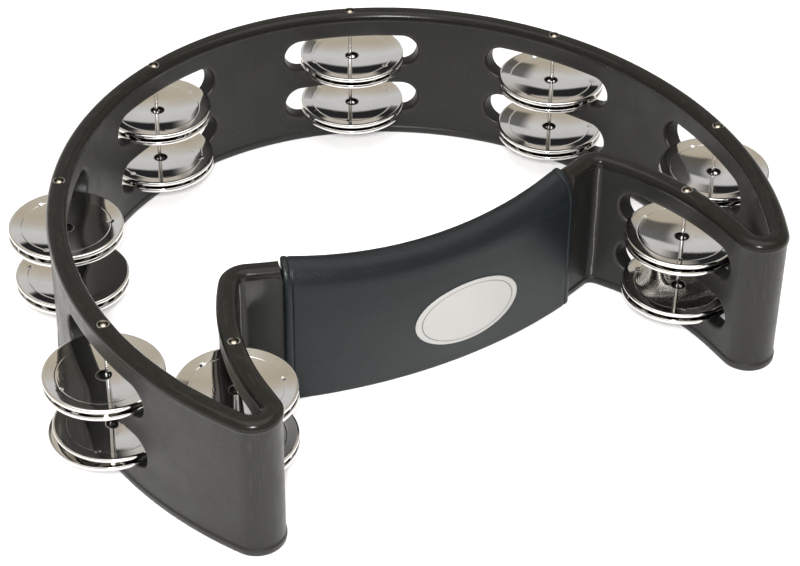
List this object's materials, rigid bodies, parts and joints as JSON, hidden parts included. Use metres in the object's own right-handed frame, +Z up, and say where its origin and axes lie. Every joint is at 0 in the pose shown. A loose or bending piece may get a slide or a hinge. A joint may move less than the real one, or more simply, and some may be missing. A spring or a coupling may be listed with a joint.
{
  "type": "cutaway tambourine",
  "caption": "Half-moon headless tambourine: a tall moulded ring whose ends turn back to a padded grip bar, with two rows of paired dished jingles on nails.",
  "frame": {"origin": "under the middle of the bounding box, on the surface the tambourine lies on", "axes": "+Z up through the ring as it lies flat, +X along the grip to the player's right, -Y out of the mouth on the grip's side"},
  "size_m": [0.2876, 0.2284, 0.0574],
  "materials": {
    "frame_plastic": "satin moulded black with a fine orange-peel texture",
    "grip_rubber": "matt grained cover over foam",
    "badge_plate": "satin silver-white, blank",
    "jingle_metal": "bright nickel plate",
    "nail_metal": "bright brass-coloured plate"
  },
  "bodies": {
    "frame": {"frame_shell": "frame_plastic", "grip_sleeve": "grip_rubber", "oval_badge": "badge_plate", "nail_right_back": "nail_metal", "nail_left_back": "nail_metal", "nail_right_side": "nail_metal", "nail_left_side": "nail_metal", "nail_right_front": "nail_metal", "nail_left_front": "nail_metal", "nail_right_return": "nail_metal", "nail_left_return": "nail_metal"},
    "jingle_right_back_lower_bottom": {"jingle_right_back_lower_bottom": "jingle_metal"},
    "jingle_right_back_lower_top": {"jingle_right_back_lower_top": "jingle_metal"},
    "jingle_right_back_upper_bottom": {"jingle_right_back_upper_bottom": "jingle_metal"},
    "jingle_right_back_upper_top": {"jingle_right_back_upper_top": "jingle_metal"},
    "jingle_left_back_lower_bottom": {"jingle_left_back_lower_bottom": "jingle_metal"},
    "jingle_left_back_lower_top": {"jingle_left_back_lower_top": "jingle_metal"},
    "jingle_left_back_upper_bottom": {"jingle_left_back_upper_bottom": "jingle_metal"},
    "jingle_left_back_upper_top": {"jingle_left_back_upper_top": "jingle_metal"},
    "jingle_right_side_lower_bottom": {"jingle_right_side_lower_bottom": "jingle_metal"},
    "jingle_right_side_lower_top": {"jingle_right_side_lower_top": "jingle_metal"},
    "jingle_right_side_upper_bottom": {"jingle_right_side_upper_bottom": "jingle_metal"},
    "jingle_right_side_upper_top": {"jingle_right_side_upper_top": "jingle_metal"},
    "jingle_left_side_lower_bottom": {"jingle_left_side_lower_bottom": "jingle_metal"},
    "jingle_left_side_lower_top": {"jingle_left_side_lower_top": "jingle_metal"},
    "jingle_left_side_upper_bottom": {"jingle_left_side_upper_bottom": "jingle_metal"},
    "jingle_left_side_upper_top": {"jingle_left_side_upper_top": "jingle_metal"},
    "jingle_right_front_lower_bottom": {"jingle_right_front_lower_bottom": "jingle_metal"},
    "jingle_right_front_lower_top": {"jingle_right_front_lower_top": "jingle_metal"},
    "jingle_right_front_upper_bottom": {"jingle_right_front_upper_bottom": "jingle_metal"},
    "jingle_right_front_upper_top": {"jingle_right_front_upper_top": "jingle_metal"},
    "jingle_left_front_lower_bottom": {"jingle_left_front_lower_bottom": "jingle_metal"},
    "jingle_left_front_lower_top": {"jingle_left_front_lower_top": "jingle_metal"},
    "jingle_left_front_upper_bottom": {"jingle_left_front_upper_bottom": "jingle_metal"},
    "jingle_left_front_upper_top": {"jingle_left_front_upper_top": "jingle_metal"},
    "jingle_right_return_lower_bottom": {"jingle_right_return_lower_bottom": "jingle_metal"},
    "jingle_right_return_lower_top": {"jingle_right_return_lower_top": "jingle_metal"},
    "jingle_right_return_upper_bottom": {"jingle_right_return_upper_bottom": "jingle_metal"},
    "jingle_right_return_upper_top": {"jingle_right_return_upper_top": "jingle_metal"},
    "jingle_left_return_lower_bottom": {"jingle_left_return_lower_bottom": "jingle_metal"},
    "jingle_left_return_lower_top": {"jingle_left_return_lower_top": "jingle_metal"},
    "jingle_left_return_upper_bottom": {"jingle_left_return_upper_bottom": "jingle_metal"},
    "jingle_left_return_upper_top": {"jingle_left_return_upper_top": "jingle_metal"}
  },
  "joints": [
    {"name": "slide_right_back_lower_bottom", "type": "slide", "parent": "frame", "child": "jingle_right_back_lower_bottom", "axis": [0, 0, 1], "range_m": [0, 0.0048]},
    {"name": "slide_right_back_lower_top", "type": "slide", "parent": "jingle_right_back_lower_bottom", "child": "jingle_right_back_lower_top", "axis": [0, 0, 1], "range_m": [0, 0.0033]},
    {"name": "slide_right_back_upper_bottom", "type": "slide", "parent": "frame", "child": "jingle_right_back_upper_bottom", "axis": [0, 0, 1], "range_m": [0, 0.0048]},
    {"name": "slide_right_back_upper_top", "type": "slide", "parent": "jingle_right_back_upper_bottom", "child": "jingle_right_back_upper_top", "axis": [0, 0, 1], "range_m": [0, 0.0033]},
    {"name": "slide_left_back_lower_bottom", "type": "slide", "parent": "frame", "child": "jingle_left_back_lower_bottom", "axis": [0, 0, 1], "range_m": [0, 0.0048]},
    {"name": "slide_left_back_lower_top", "type": "slide", "parent": "jingle_left_back_lower_bottom", "child": "jingle_left_back_lower_top", "axis": [0, 0, 1], "range_m": [0, 0.0033]},
    {"name": "slide_left_back_upper_bottom", "type": "slide", "parent": "frame", "child": "jingle_left_back_upper_bottom", "axis": [0, 0, 1], "range_m": [0, 0.0048]},
    {"name": "slide_left_back_upper_top", "type": "slide", "parent": "jingle_left_back_upper_bottom", "child": "jingle_left_back_upper_top", "axis": [0, 0, 1], "range_m": [0, 0.0033]},
    {"name": "slide_right_side_lower_bottom", "type": "slide", "parent": "frame", "child": "jingle_right_side_lower_bottom", "axis": [0, 0, 1], "range_m": [0, 0.0048]},
    {"name": "slide_right_side_lower_top", "type": "slide", "parent": "jingle_right_side_lower_bottom", "child": "jingle_right_side_lower_top", "axis": [0, 0, 1], "range_m": [0, 0.0033]},
    {"name": "slide_right_side_upper_bottom", "type": "slide", "parent": "frame", "child": "jingle_right_side_upper_bottom", "axis": [0, 0, 1], "range_m": [0, 0.0048]},
    {"name": "slide_right_side_upper_top", "type": "slide", "parent": "jingle_right_side_upper_bottom", "child": "jingle_right_side_upper_top", "axis": [0, 0, 1], "range_m": [0, 0.0033]},
    {"name": "slide_left_side_lower_bottom", "type": "slide", "parent": "frame", "child": "jingle_left_side_lower_bottom", "axis": [0, 0, 1], "range_m": [0, 0.0048]},
    {"name": "slide_left_side_lower_top", "type": "slide", "parent": "jingle_left_side_lower_bottom", "child": "jingle_left_side_lower_top", "axis": [0, 0, 1], "range_m": [0, 0.0033]},
    {"name": "slide_left_side_upper_bottom", "type": "slide", "parent": "frame", "child": "jingle_left_side_upper_bottom", "axis": [0, 0, 1], "range_m": [0, 0.0048]},
    {"name": "slide_left_side_upper_top", "type": "slide", "parent": "jingle_left_side_upper_bottom", "child": "jingle_left_side_upper_top", "axis": [0, 0, 1], "range_m": [0, 0.0033]},
    {"name": "slide_right_front_lower_bottom", "type": "slide", "parent": "frame", "child": "jingle_right_front_lower_bottom", "axis": [0, 0, 1], "range_m": [0, 0.0048]},
    {"name": "slide_right_front_lower_top", "type": "slide", "parent": "jingle_right_front_lower_bottom", "child": "jingle_right_front_lower_top", "axis": [0, 0, 1], "range_m": [0, 0.0033]},
    {"name": "slide_right_front_upper_bottom", "type": "slide", "parent": "frame", "child": "jingle_right_front_upper_bottom", "axis": [0, 0, 1], "range_m": [0, 0.0048]},
    {"name": "slide_right_front_upper_top", "type": "slide", "parent": "jingle_right_front_upper_bottom", "child": "jingle_right_front_upper_top", "axis": [0, 0, 1], "range_m": [0, 0.0033]},
    {"name": "slide_left_front_lower_bottom", "type": "slide", "parent": "frame", "child": "jingle_left_front_lower_bottom", "axis": [0, 0, 1], "range_m": [0, 0.0048]},
    {"name": "slide_left_front_lower_top", "type": "slide", "parent": "jingle_left_front_lower_bottom", "child": "jingle_left_front_lower_top", "axis": [0, 0, 1], "range_m": [0, 0.0033]},
    {"name": "slide_left_front_upper_bottom", "type": "slide", "parent": "frame", "child": "jingle_left_front_upper_bottom", "axis": [0, 0, 1], "range_m": [0, 0.0048]},
    {"name": "slide_left_front_upper_top", "type": "slide", "parent": "jingle_left_front_upper_bottom", "child": "jingle_left_front_upper_top", "axis": [0, 0, 1], "range_m": [0, 0.0033]},
    {"name": "slide_right_return_lower_bottom", "type": "slide", "parent": "frame", "child": "jingle_right_return_lower_bottom", "axis": [0, 0, 1], "range_m": [0, 0.0044]},
    {"name": "slide_right_return_lower_top", "type": "slide", "parent": "jingle_right_return_lower_bottom", "child": "jingle_right_return_lower_top", "axis": [0, 0, 1], "range_m": [0, 0.003]},
    {"name": "slide_right_return_upper_bottom", "type": "slide", "parent": "frame", "child": "jingle_right_return_upper_bottom", "axis": [0, 0, 1], "range_m": [0, 0.0044]},
    {"name": "slide_right_return_upper_top", "type": "slide", "parent": "jingle_right_return_upper_bottom", "child": "jingle_right_return_upper_top", "axis": [0, 0, 1], "range_m": [0, 0.003]},
    {"name": "slide_left_return_lower_bottom", "type": "slide", "parent": "frame", "child": "jingle_left_return_lower_bottom", "axis": [0, 0, 1], "range_m": [0, 0.0044]},
    {"name": "slide_left_return_lower_top", "type": "slide", "parent": "jingle_left_return_lower_bottom", "child": "jingle_left_return_lower_top", "axis": [0, 0, 1], "range_m": [0, 0.003]},
    {"name": "slide_left_return_upper_bottom", "type": "slide", "parent": "frame", "child": "jingle_left_return_upper_bottom", "axis": [0, 0, 1], "range_m": [0, 0.0044]},
    {"name": "slide_left_return_upper_top", "type": "slide", "parent": "jingle_left_return_upper_bottom", "child": "jingle_left_return_upper_top", "axis": [0, 0, 1], "range_m": [0, 0.003]}
  ]
}
